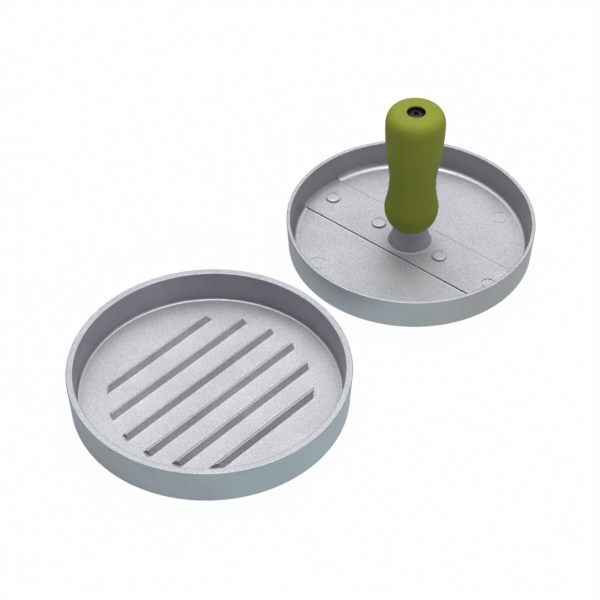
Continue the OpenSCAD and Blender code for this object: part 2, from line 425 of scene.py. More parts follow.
class Board:
    """A node tree with short ways to place nodes in it."""

    def __init__(self, tree: bpy.types.NodeTree) -> None:
        """Takes over a tree and empties it."""
        self.tree = tree
        self.tree.nodes.clear()

    def feed(self, node: bpy.types.Node, inputs: dict[Union[str, int], object]) -> None:
        """Gives each input of a node, by name or number, its value or its link."""
        for key, value in inputs.items():
            if isinstance(value, Socket):
                self.tree.links.new(value, node.inputs[key])
            else:
                node.inputs[key].default_value = value

    def add(self, kind: str, inputs: Optional[dict[Union[str, int], object]] = None,
            **settings: object) -> bpy.types.Node:
        """Places a node.

        Args:
            kind: The node's type.
            inputs: A value or a socket for each input, by name or number.
            settings: Values of the node's own properties.

        Returns:
            The node.
        """
        node = self.tree.nodes.new(kind)
        for key, value in settings.items():
            setattr(node, key, value)
        self.feed(node, inputs or {})
        return node

    def group(self, tree: bpy.types.NodeTree, **inputs: object) -> bpy.types.Node:
        """Places a shared node group."""
        return self.add("ShaderNodeGroup", inputs, node_tree=tree)

    def mask(self, tree: bpy.types.NodeTree, **inputs: object) -> Socket:
        """Places a shared node group and returns its mask."""
        return self.group(tree, **inputs).outputs["Mask"]

    def sum(self, operation: str, *terms: Value) -> Socket:
        """Works out a value from one to three others."""
        return self.add("ShaderNodeMath", dict(enumerate(terms)), operation=operation).outputs[0]

    def times(self, first: Value, second: Value) -> Socket:
        """Multiplies two values."""
        return self.sum("MULTIPLY", first, second)

    def distance(self, x: Socket, y: Socket) -> Socket:
        """Works out how far a place is from the axis."""
        return self.sum("SQRT", self.sum("ADD", self.times(x, x), self.times(y, y)))

    def split(self, vector: Socket) -> bpy.types.bpy_prop_collection:
        """Gives the three parts of a vector."""
        return self.add("ShaderNodeSeparateXYZ", {"Vector": vector}).outputs

    def dot(self, first: Socket, second: Union[Point, Vector, Socket]) -> Socket:
        """Works out how far two vectors agree."""
        node = self.add("ShaderNodeVectorMath", {0: first, 1: second}, operation="DOT_PRODUCT")
        return node.outputs["Value"]

    def blend(self, share: Value, first: Union[Colour, Socket], second: Union[Colour, Socket],
              how: str = "MIX") -> Socket:
        """Mixes two colours."""
        node = self.add("ShaderNodeMix", {0: share, 6: first, 7: second}, data_type="RGBA", blend_type=how)
        return node.outputs[2]

    def remap(self, value: Socket, low: float, high: float, to_low: float = 0.0,
              to_high: float = 1.0) -> Socket:
        """Brings a value from one range to another, softly at both ends."""
        return self.add("ShaderNodeMapRange", {
            "Value": value, "From Min": low, "From Max": high, "To Min": to_low, "To Max": to_high},
            interpolation_type="SMOOTHSTEP").outputs["Result"]

    def noise(self, vector: Socket, scale: Value, detail: float, roughness: float) -> Socket:
        """Places a noise pattern and returns its value."""
        return self.add("ShaderNodeTexNoise", {"Vector": vector, "Scale": scale, "Detail": detail,
                                               "Roughness": roughness}).outputs["Fac"]


class GroupBoard(Board):
    """The board of a shared node group."""

    def __init__(self, name: str, inputs: dict[str, Optional[float]], outputs: Sequence[str]) -> None:
        """Starts the group with its sockets.

        Args:
            name: Name of the group.
            inputs: The first value of each input that is a number, and None for a vector.
            outputs: The names of its outputs, each a value.
        """
        super().__init__(bpy.data.node_groups.new(name, "ShaderNodeTree"))
        for key, value in inputs.items():
            kind = "NodeSocketVector" if value is None else "NodeSocketFloat"
            socket = self.tree.interface.new_socket(name=key, in_out="INPUT", socket_type=kind)
            if value is not None:
                socket.default_value = value
        for key in outputs:
            self.tree.interface.new_socket(name=key, in_out="OUTPUT", socket_type="NodeSocketFloat")
        self.given = self.add("NodeGroupInput").outputs
        self.target = self.add("NodeGroupOutput")

    def give(self, **outputs: Socket) -> bpy.types.NodeTree:
        """Links the group's outputs and returns the finished group."""
        self.feed(self.target, outputs)
        return self.tree


class Effects:
    """The shader node groups that several finishes share."""

    slant: Point = (0.62, 0.41, 0.3)
    finer: float = 2.3
    coarse_share: float = 0.65

    def __init__(self) -> None:
        """Builds every group once."""
        self.grain = self.make_grain()
        self.clouds = self.make_clouds()
        self.edges = self.make_edges()
        self.patch = self.make_patch()
        self.ring = self.make_ring()

    def make_grain(self) -> bpy.types.NodeTree:
        """Builds the fine grain: a height and a mask of the single bright grains.

        Returns:
            The group.
        """
        board = GroupBoard("surface_grain", {"Vector": None, "Size": 0.5}, ["Height", "Grains"])
        scale = board.sum("DIVIDE", 1 / MM, board.given["Size"])
        slanted = board.add("ShaderNodeMapping", {"Vector": board.given["Vector"],
                                                  "Rotation": self.slant}).outputs["Vector"]
        coarse = board.noise(slanted, scale, 1.0, 0.5)
        fine = board.noise(slanted, board.times(scale, self.finer), 1.0, 0.5)
        height = board.sum("ADD", board.times(coarse, self.coarse_share),
                           board.times(fine, 1 - self.coarse_share))
        return board.give(Height=height, Grains=board.remap(height, 0.36, 0.64))

    def make_clouds(self) -> bpy.types.NodeTree:
        """Builds the broad uneven shade that a metal's or a rubber's surface has.

        Returns:
            The group.
        """
        board = GroupBoard("surface_clouds", {"Vector": None, "Size": 20.0}, ["Mask"])
        scale = board.sum("DIVIDE", 1 / MM, board.given["Size"])
        return board.give(Mask=board.remap(board.noise(board.given["Vector"], scale, 3.0, 0.55), 0.3, 0.7))

    def make_edges(self) -> bpy.types.NodeTree:
        """Builds the mask of edges: where the rounded normal parts from the real one.

        Returns:
            The group.
        """
        board = GroupBoard("edge_wear", {"Width": 0.6}, ["Mask"])
        rounded = board.add("ShaderNodeBevel", {"Radius": board.times(board.given["Width"], MM)}, samples=6)
        real = board.add("ShaderNodeNewGeometry")
        agree = board.dot(rounded.outputs["Normal"], real.outputs["Normal"])
        return board.give(Mask=board.remap(agree, 0.995, 0.86))

    def make_patch(self) -> bpy.types.NodeTree:
        """Builds a round patch about an upright axis.

        Returns:
            The group.
        """
        board = GroupBoard("round_patch", {"Vector": None, "X": 0.0, "Y": 0.0, "Radius": 3.0}, ["Mask"])
        parts = board.split(board.given["Vector"])
        x, y = (board.sum("SUBTRACT", board.sum("DIVIDE", parts[key], MM), board.given[key]) for key in "XY")
        ratio = board.sum("DIVIDE", board.distance(x, y), board.given["Radius"])
        return board.give(Mask=board.remap(ratio, 1.05, 0.9))

    def make_ring(self) -> bpy.types.NodeTree:
        """Builds a round ring about the upright axis of the piece.

        Returns:
            The group.
        """
        board = GroupBoard("round_ring", {"Vector": None, "Radius": 50.0, "Width": 2.0}, ["Mask"])
        level = board.add("ShaderNodeVectorMath", {0: board.given["Vector"], 1: (1, 1, 0)},
                          operation="MULTIPLY")
        away = board.add("ShaderNodeVectorMath", {0: level.outputs["Vector"]}, operation="LENGTH")
        across = board.sum("SUBTRACT", board.sum("DIVIDE", away.outputs["Value"], MM), board.given["Radius"])
        ratio = board.sum("DIVIDE", board.sum("ABSOLUTE", across), board.given["Width"])
        return board.give(Mask=board.remap(ratio, 0.6, 0.4))


@dataclass(frozen=True)
class Surface:
    """What a finish works out for its shader. The depth of the relief is in millimetres."""

    colour: Socket
    roughness: Socket
    height: Socket
    depth: float


@dataclass(frozen=True)
class Finish:
    """What every finish shares: where its pattern is centred and how it is turned."""

    centre: Point = (0.0, 0.0, 0.0)
    degrees: float = 0.0
    plain_values: ClassVar[dict[str, float]] = {}

    def surface(self, board: Board, place: Socket, effects: Effects) -> Surface:
        """Works out the surface.

        Args:
            board: The material's board.
            place: The centred coordinates.
            effects: The shared groups.

        Returns:
            What the shader is given.
        """
        raise NotImplementedError

    def material(self, name: str, effects: Effects) -> bpy.types.Material:
        """Builds the material.

        Args:
            name: Its name.
            effects: The shared groups.

        Returns:
            The material.
        """
        material = bpy.data.materials.new(name)
        material.use_nodes = True
        board = Board(material.node_tree)
        place = board.add("ShaderNodeTexCoord")
        centred = board.add("ShaderNodeMapping", {
            "Vector": place.outputs["Object"], "Location": Vector(self.centre) * MM,
            "Rotation": (0, 0, math.radians(self.degrees))}, vector_type="TEXTURE")
        shader = board.add("ShaderNodeBsdfPrincipled")
        output = board.add("ShaderNodeOutputMaterial", {"Surface": shader.outputs["BSDF"]})
        output.is_active_output = True
        surface = self.surface(board, centred.outputs["Vector"], effects)
        bump = board.add("ShaderNodeBump", {"Height": surface.height, "Strength": 1.0,
                                            "Distance": surface.depth * MM})
        board.feed(shader, {"Base Color": surface.colour, "Roughness": surface.roughness,
                            "Normal": bump.outputs["Normal"], **self.plain_values})
        return material


@dataclass(frozen=True)
class CastAluminium(Finish):
    """Die-cast aluminium, tumbled to a fine even grain. Its upright faces carry painted shade, and where they
    are set, its fillets, boss root and band lip carry painted highlights.
    """

    plain_values: ClassVar[dict[str, float]] = {"Metallic": 1.0}
    dull: Colour = (0.440, 0.446, 0.464, 1)
    bright: Colour = (0.720, 0.726, 0.743, 1)
    # bare metal at worn edges and pin lands, and also the colour of the painted highlight on the fillet ring
    bare_and_highlight: Colour = (0.76, 0.75, 0.76, 1)
    # painted shade: the colour that upright faces are multiplied by
    upright_shade: Colour = (0.85, 0.83, 0.86, 1)
    # colour of the painted highlights at the boss root and along the band's near groove
    painted_highlight: Colour = (0.93, 0.93, 0.95, 1)
    grain: float = 0.42
    grain_depth: float = 0.016
    speckle: float = 0.9
    cloud: float = 26.0
    roughness: float = 0.62
    edge_w: float = 0.5
    edge_wear: float = 0.45
    fillet_r: float = 55.8
    fillet_w: float = 1.3
    fillet_highlight: float = 0.25
    cut_end_r: float = 43.5
    cut_end_w: float = 1.8
    # painted shade: the colour that the ridges' upright cut ends are multiplied by
    cut_end_shade: Colour = (0.62, 0.62, 0.64, 1)
    root_r: float = 0.0
    root_w: float = 0.6
    root_highlight: float = 0.35
    lip_x: float = 0.0
    lip_within_r: float = 50.0
    lip_highlight: float = 0.6
    patches: tuple[Point, ...] = ()
    patch_wear: float = 0.25

    def surface(self, board: Board, place: Socket, effects: Effects) -> Surface:
        """Works out the surface.

        Args:
            board: The material's board.
            place: The centred coordinates.
            effects: The shared groups.

        Returns:
            What the shader is given.
        """
        def ring(radius: float, width: float) -> Socket:
            return board.mask(effects.ring, Vector=place, Radius=radius, Width=width)

        # blends towards a colour where a mask says so: used for real edge wear and also for the painted
        # highlights below
        def worn(base: Socket, mask: Socket, share: float, to: Colour) -> Socket:
            return board.blend(board.times(mask, share), base, to)

        grain = board.group(effects.grain, Vector=place, Size=self.grain).outputs
        clouds = board.mask(effects.clouds, Vector=place, Size=self.cloud)
        edges = board.mask(effects.edges, Width=self.edge_w)
        upright = board.split(board.add("ShaderNodeTexCoord").outputs["Normal"])["Z"]
        level = board.remap(board.sum("ABSOLUTE", upright), 0.15, 0.75, 0.4, 1.0)
        # painted shade: faces near upright are multiplied darker, standing in for the shade on the walls
        upright_mask = board.remap(board.sum("ABSOLUTE", upright), 0.30, 0.05)
        speck = board.times(board.sum("SUBTRACT", grain["Grains"], 0.5), level)
        tone = board.sum("ADD", board.times(clouds, 0.3),
                         board.sum("MULTIPLY_ADD", speck, self.speckle, 0.36))
        colour = board.blend(tone, self.dull, self.bright)
        colour = board.blend(upright_mask, colour, self.upright_shade, "MULTIPLY")
        # painted shade: the upright cut ends of the ridges, on the ring where they are trimmed, are made
        # darker still
        ends = board.times(upright_mask, ring(self.cut_end_r, self.cut_end_w))
        colour = board.blend(ends, colour, self.cut_end_shade, "MULTIPLY")
        colour = worn(colour, edges, self.edge_wear, self.bare_and_highlight)
        # the fillet ring is smoother (lower roughness below), and its colour is lightened there as a painted
        # highlight line
        fillet = ring(self.fillet_r, self.fillet_w)
        colour = worn(colour, fillet, self.fillet_highlight, self.bare_and_highlight)
        roughness = board.sum("MULTIPLY_ADD", clouds, 0.06, self.roughness - 0.03)
        for mask, step in ((grain["Grains"], -0.05), (edges, -0.10), (fillet, -0.12)):
            roughness = board.sum("MULTIPLY_ADD", mask, step, roughness)
        # painted highlight: a light ring round the boss's root
        if self.root_r:
            colour = worn(colour, ring(self.root_r, self.root_w), self.root_highlight, self.painted_highlight)
        # painted highlight: a thin light line along the band's near groove, on faces that look up
        if self.lip_x:
            aside = board.sum("SUBTRACT", board.sum("DIVIDE", board.split(place)["X"], MM), self.lip_x)
            inside = board.mask(effects.patch, Vector=place, Radius=self.lip_within_r)
            lip = board.times(board.remap(board.sum("ABSOLUTE", aside), 0.32, 0.16), inside)
            lip_highlight_share = board.remap(upright, 0.5, 0.9, 0.0, self.lip_highlight)
            colour = board.blend(board.times(lip, lip_highlight_share), colour, self.painted_highlight)
        for x, y, radius in self.patches:
            land = board.mask(effects.patch, Vector=place, X=x, Y=y, Radius=radius)
            colour = worn(colour, land, self.patch_wear, self.bare_and_highlight)
        return Surface(colour, roughness, grain["Height"], self.grain_depth)


@dataclass(frozen=True)
class SoftTouch(Finish):
    """Green soft-touch rubber, moulded with a very fine grain."""

    plain_values: ClassVar[dict[str, float]] = {"IOR": 1.42}
    shade: Colour = (0.302, 0.341, 0.029, 1)
    light: Colour = (0.341, 0.385, 0.035, 1)
    grain: float = 0.35
    grain_depth: float = 0.006
    cloud: float = 14.0
    roughness: float = 0.76

    def surface(self, board: Board, place: Socket, effects: Effects) -> Surface:
        """Works out the surface.

        Args:
            board: The material's board.
            place: The centred coordinates.
            effects: The shared groups.

        Returns:
            What the shader is given.
        """
        grain = board.group(effects.grain, Vector=place, Size=self.grain).outputs
        clouds = board.mask(effects.clouds, Vector=place, Size=self.cloud)
        tone = board.sum("ADD", board.times(clouds, 0.6), board.times(grain["Grains"], 0.4))
        roughness = board.sum("MULTIPLY_ADD", clouds, 0.08, self.roughness - 0.04)
        colour = board.blend(tone, self.shade, self.light)
        return Surface(colour, roughness, grain["Height"], self.grain_depth)


@dataclass(frozen=True)
class BlackPlastic(Finish):
    """Matte black moulded plastic."""

    shade: Colour = (0.030, 0.030, 0.026, 1)
    light: Colour = (0.055, 0.055, 0.048, 1)
    grain: float = 0.3
    grain_depth: float = 0.006
    edge_w: float = 0.3
    roughness: float = 0.5

    def surface(self, board: Board, place: Socket, effects: Effects) -> Surface:
        """Works out the surface.

        Args:
            board: The material's board.
            place: The centred coordinates.
            effects: The shared groups.

        Returns:
            What the shader is given.
        """
        grain = board.group(effects.grain, Vector=place, Size=self.grain).outputs
        edges = board.mask(effects.edges, Width=self.edge_w)
        tone = board.sum("MULTIPLY_ADD", grain["Grains"], 0.4, board.times(edges, 0.6))
        roughness = board.sum("MULTIPLY_ADD", grain["Grains"], 0.1, self.roughness - 0.05)
        colour = board.blend(tone, self.shade, self.light)
        return Surface(colour, roughness, grain["Height"], self.grain_depth)


@dataclass(frozen=True)
class Steel(Finish):
    """Turned steel with its plating or black oxide, worn through a little at the edges."""

    plain_values: ClassVar[dict[str, float]] = {"Metallic": 1.0}
    coat: Colour = (0.58, 0.58, 0.57, 1)
    worn: Colour = (0.68, 0.67, 0.65, 1)
    roughness: float = 0.34
    grain: float = 0.25
    edge_w: float = 0.2
    cloud: float = 2.5
    tool_pitch: float = 0.22
    tool_depth: float = 0.004

    def surface(self, board: Board, place: Socket, effects: Effects) -> Surface:
        """Works out the surface.

        Args:
            board: The material's board.
            place: The centred coordinates.
            effects: The shared groups.

        Returns:
            What the shader is given.
        """
        grain = board.group(effects.grain, Vector=place, Size=self.grain).outputs
        edges = board.mask(effects.edges, Width=self.edge_w)
        clouds = board.mask(effects.clouds, Vector=place, Size=self.cloud)
        wear = board.times(edges, board.sum("MULTIPLY_ADD", clouds, 0.6, 0.2))
        parts = board.split(place)
        turned = board.times(board.distance(parts["X"], parts["Y"]), FULL_TURN / self.tool_pitch / MM)
        rings = board.sum("MULTIPLY_ADD", board.sum("SINE", turned), 0.3, grain["Height"])
        roughness = board.sum("MULTIPLY_ADD", grain["Grains"], 0.12, self.roughness)
        return Surface(board.blend(wear, self.coat, self.worn), roughness, rings, self.tool_depth)


@dataclass
class Casting:
    """What both cast halves share: a shallow round dish, a set of grill ridges and sunk pin marks."""

    name: str
    rim_r: float
    height: float
    rim_w: float
    floor_t: float
    fillet: float
    outer_draft: float = 1.0
    inner_draft: float = 0.3
    rim_edge: float = 0.4
    foot_edge: float = 0.7
    ridge_pitch: float = 13.0
    ridge_w: float = 4.4
    ridge_h: float = 2.5
    crest_w: float = 0.5
    ridge_circle_r: float = 43.5
    ridge_rows: int = 3
    ridge_root: float = 0.9
    crest_edge: float = 0.12
    root_fillet: float = 0.2
    groove_w: float = 0.5
    pin_circle_r: float = 45.0

    @property
    def inner_rim_r(self) -> float:
        """Radius of the wall's inner edge at the rim."""
        return self.rim_r - self.rim_w

    @property
    def floor_r(self) -> float:
        """Radius of the wall's inner foot."""
        return self.inner_rim_r - self.inner_draft

    def cast_dish(self) -> Workpiece:
        """Models the dish: drafted walls, rounded rim and foot, and the fillet round the floor.

        Returns:
            The dish, standing on the origin.
        """
        dish = Workpiece.cylinder(self.name, self.rim_r, 0, self.height)
        with dish.edit():
            dish.pick_level(Side.UNDERSIDE)
            narrow = (self.rim_r - self.outer_draft) / self.rim_r
            dish.resize(narrow, narrow)
            dish.pick_level(Side.TOP)
            dish.inset(self.rim_w)
            dish.pick_level(Side.TOP, (0, 0))
            dish.extrude(z=self.floor_t - self.height)
            narrow = self.floor_r / self.inner_rim_r
            dish.resize(narrow, narrow)
            for radius, height, width, segments in (
                    (self.rim_r - self.outer_draft, 0, self.foot_edge, 4),
                    (self.rim_r, self.height, self.rim_edge, 4),
                    (self.inner_rim_r, self.height, self.rim_edge, 4),
                    (self.floor_r, self.floor_t, self.fillet, 10)):
                dish.pick_ring(radius, height)
                dish.bevel(width, segments)
        return dish

    def cast_ridges(self, side: Side, face_z: float) -> Workpiece:
        """Models one ridge, copies it to its rows and trims both ends of each on one circle.

        Args:
            side: The side of the plate that they stand on.
            face_z: Height of the face that they stand on.

        Returns:
            All ridges of that side as one piece, rooted a little below the face.
        """
        slope = (self.ridge_w - self.crest_w) / 2 / self.ridge_h
        root_w = self.ridge_w + 2 * slope * self.ridge_root
        tall = self.ridge_root + self.ridge_h
        spare = 8
        bar = Workpiece.block("ridge", (2 * self.ridge_circle_r + spare, root_w, tall),
                              (0, 0, tall / 2 - self.ridge_root))
        with bar.edit():
            bar.pick_level(Side.TOP)
            bar.resize(1, self.crest_w / root_w, 1)
            bar.pick_edges(lambda point: point.z > self.ridge_h - 0.01)
            bar.bevel(self.crest_edge, 3)
        bars = []
        for row in range(-self.ridge_rows, self.ridge_rows):
            y = (row + 0.5) * self.ridge_pitch
            x = math.sqrt(self.ridge_circle_r ** 2 - y ** 2)
            one = bar.copy(f"ridge_{row + self.ridge_rows + 1}")
            one.move(y=y)
            for end in (x, -x):
                one.bisect((end, y, 0), (end, y, 0))
                with one.edit():
                    gone = Vector((end, y, 0)).normalized()
                    one.pick_edges(lambda point: abs(point.dot(gone) - self.ridge_circle_r) < 0.01
                                   and point.z > 0.02 - self.ridge_root)
                    one.bevel(self.crest_edge, 2)
            bars.append(one)
        bar.discard()
        ridges = bars[0]
        ridges.join(bars[1:])
        if side is Side.UNDERSIDE:
            ridges.turn(180, "X")
        ridges.move(z=face_z)
        return ridges

    def round_roots(self, piece: Workpiece, face_z: float) -> None:
        """Rounds the inner edges where ridges meet the face that they stand on.

        Args:
            piece: The casting.
            face_z: Height of the face.
        """
        within_r = self.ridge_circle_r + 4
        with piece.edit():
            piece.pick_edges(lambda point: abs(point.z - face_z) < 0.004
                             and math.hypot(point.x, point.y) < within_r, 25)
            piece.bevel(self.root_fillet, 2)

    def sunk_mark(self, at: Place, face_z: float, side: Side, radius: float = 4.0,
                  depth: float = 0.25) -> Workpiece:
        """Models the cutter for an ejector pin's shallow mark: a sunk disc with a finer groove round it.

        Args:
            at: Middle of the mark.
            face_z: Height of the face.
            side: The side of the plate that the mark is on.
            radius: Radius of the mark.
            depth: How deep it lies.

        Returns:
            The cutter, slightly wider at the face.
        """
        spare, draft, land = 0.4, 1.03, 0.75
        low, high = sorted((face_z - side.value * depth, face_z + side.value * spare))
        bottom = Side(-side.value)
        cutter = Workpiece.cylinder("pin_cutter", radius, low, high, 72, at)
        with cutter.edit():
            cutter.pick_level(side)
            cutter.resize(draft, draft, 1, (at[0], at[1], 0))
            cutter.pick_level(bottom)
            cutter.inset(self.groove_w)
            cutter.pick_level(bottom, at)
            cutter.extrude(z=side.value * depth * land)
        return cutter


@dataclass
class Mould(Casting):
    """The lower half: a dish with ridges on its floor."""

    pins: int = 6

    def build(self) -> Workpiece:
        """Models the casting.

        Returns:
            The finished piece, in its place.
        """
        piece = self.cast_dish()
        piece.combine(Cut.UNITE, self.cast_ridges(Side.TOP, self.floor_t))
        self.round_roots(piece, self.floor_t)
        for pin in range(self.pins):
            at = on_circle(self.pin_circle_r, FULL_TURN * (pin + 0.5) / self.pins)
            piece.combine(Cut.SUBTRACT, self.sunk_mark(at, 0, Side.UNDERSIDE))
        piece.smooth()
        return piece


@dataclass
class PressPlate(Casting):
    """The upper half's casting: thin dish, band, boss, pin marks, and ridges on its underside."""

    band_w: float = 24.6
    band_step: float = 0.6
    boss_root_r: float = 9.7
    boss_neck_r: float = 7.9
    boss_top_r: float = 7.7
    boss_flare_h: float = 5.2
    boss_top_z: float = 12.5
    boss_fillet: float = 0.7
    boss_bevels: tuple[tuple[float, int], ...] = ((0.5, 4), (2.1, 8), (0.3, 3))
    bore_r: float = 2.0
    bore_low: float = 5.4
    mark_r: float = 3.35
    mark_h: float = 1.1
    mark_edge: float = 0.3
    mark_rim_w: float = 1.0
    mark_land: float = 0.2
    row_aside: float = 0.6
    row_turn: float = 1.0
    raised_rows: tuple[float, ...] = (-17.5, 17.5, 45.0)
    band_mark_r: float = 3.3
    band_mark_depth: float = 0.42
    floor_marks: tuple[float, ...] = (-30, 30, 150, 210)

    @property
    def band_z(self) -> float:
        """Height of the band's face."""
        return self.floor_t + self.band_step

    def in_row(self, along: float) -> Place:
        """Gives a place in the row of pin marks, which is turned a little from the band.

        Args:
            along: How far along the row from the boss.

        Returns:
            The place on the plate.
        """
        turn = math.radians(self.row_turn)
        return (along * math.sin(turn) - self.row_aside * math.cos(turn),
                along * math.cos(turn) + self.row_aside * math.sin(turn))

    @property
    def raised_marks(self) -> list[Place]:
        """Middles of the raised pin marks."""
        return [self.in_row(along) for along in self.raised_rows]

    @property
    def lands(self) -> tuple[Point, ...]:
        """Middle and radius of the land in the top of each raised mark."""
        return tuple((x, y, self.mark_r - self.mark_rim_w - self.mark_edge) for x, y in self.raised_marks)

    def groove(self, name: str, at: Place, width: float, depth: float) -> Workpiece:
        """Models the cutter for a fine groove along the band, narrower at its bottom.

        Args:
            name: Name of the cutter.
            at: Where its middle lies across the band, and the height of the face that it is cut into.
            width: Width at the face.
            depth: How deep it goes.

        Returns:
            The cutter.
        """
        across, face_z = at
        spare, short, narrow = 0.2, 1.2, 0.6
        length = 2 * math.sqrt(self.floor_r ** 2 - across ** 2) - short
        cutter = Workpiece.block(name, (width, length, depth + spare),
                                 (across, 0, face_z + (spare - depth) / 2))
        with cutter.edit():
            cutter.pick_level(Side.UNDERSIDE)
            cutter.resize(narrow, 1, 1, (across, 0, 0))
        return cutter

    def strip(self, name: str, radius: float, low: float, high: float) -> Workpiece:
        """Models a straight strip across a disc, with both ends on the circle.

        Args:
            name: Name of the piece.
            radius: Radius of the disc.
            low: Height of its lower face.
            high: Height of its upper face.

        Returns:
            The strip, as wide as the band.
        """
        piece = Workpiece.cylinder(name, radius, low, high)
        for side in (1, -1):
            piece.bisect((side * self.band_w / 2, 0, 0), (side, 0, 0))
        return piece

    def cast_boss(self) -> Workpiece:
        """Models the boss, with a fine fillet and a flare at its root.

        Returns:
            The boss, rooted in the floor.
        """
        radius, height = self.boss_root_r + self.boss_fillet, self.band_z - 0.15
        boss = Workpiece.cylinder("boss", radius, self.floor_t / 2, height, 144)
        steps = ((self.boss_root_r, self.band_z + 0.3), (self.boss_neck_r, self.band_z + self.boss_flare_h),
                 (self.boss_top_r, self.boss_top_z))
        with boss.edit():
            for next_radius, next_height in steps:
                boss.pick_level(Side.TOP, least=0.99)
                boss.extrude(z=next_height - height)
                boss.resize(next_radius / radius, next_radius / radius)
                radius, height = next_radius, next_height
            for (ring_r, ring_z), (width, segments) in zip(steps, self.boss_bevels):
                boss.pick_ring(ring_r, ring_z, bend=8)
                boss.bevel(width, segments)
        return boss

    def raised_mark(self, at: Place) -> Workpiece:
        """Models a raised pin mark: bevelled edge, and a land sunk in its top.

        Args:
            at: Where it stands on the band.

        Returns:
            The mark.
        """
        top = self.band_z + self.mark_h
        mark = Workpiece.cylinder("raised_mark", self.mark_r, self.band_z - 0.3, top, 96, at)
        with mark.edit():
            mark.pick_ring(self.mark_r, top, at)
            mark.bevel(self.mark_edge, 2)
            mark.pick_level(Side.TOP, least=0.99)
            mark.inset(self.mark_rim_w)
            mark.pick_level(Side.TOP, at, 0.99)
            mark.extrude(z=-self.mark_land)
        return mark

    def build(self, centre: Point, degrees: float) -> Workpiece:
        """Models the casting.

        Args:
            centre: Where the middle of its underside stands.
            degrees: How far it is turned.

        Returns:
            The finished piece, in its place.
        """
        piece = self.cast_dish()
        notch_top = self.floor_t + self.fillet + 0.02
        piece.combine(Cut.SUBTRACT, self.strip("notch", self.floor_r, self.band_z, notch_top))
        piece.combine(Cut.UNITE, self.strip("band", self.floor_r + 0.55, self.floor_t / 2, self.band_z))
        piece.combine(Cut.UNITE, self.cast_boss())
        for at in self.raised_marks:
            piece.combine(Cut.UNITE, self.raised_mark(at))
        piece.combine(Cut.UNITE, self.cast_ridges(Side.UNDERSIDE, 0))
        self.round_roots(piece, 0)
        piece.combine(Cut.SUBTRACT, self.sunk_mark(self.in_row(-self.pin_circle_r), self.band_z, Side.TOP,
                                                   self.band_mark_r, self.band_mark_depth))
        for angle in self.floor_marks:
            at = on_circle(self.pin_circle_r, math.radians(angle))
            piece.combine(Cut.SUBTRACT, self.sunk_mark(at, self.floor_t, Side.TOP))
        edge = self.band_w / 2
        piece.combine(Cut.SUBTRACT, self.groove("near_groove", (-edge - 0.18, self.floor_t), 0.36, 0.45))
        piece.combine(Cut.SUBTRACT, self.groove("far_groove", (edge - 0.3, self.band_z), 0.3, 0.2))
        bore = Workpiece.cylinder("bore", self.bore_r, self.bore_low, self.boss_top_z + 1, 48)
        piece.combine(Cut.SUBTRACT, bore)
        piece.smooth()
        piece.turn(degrees)
        piece.move(*centre)
        return piece


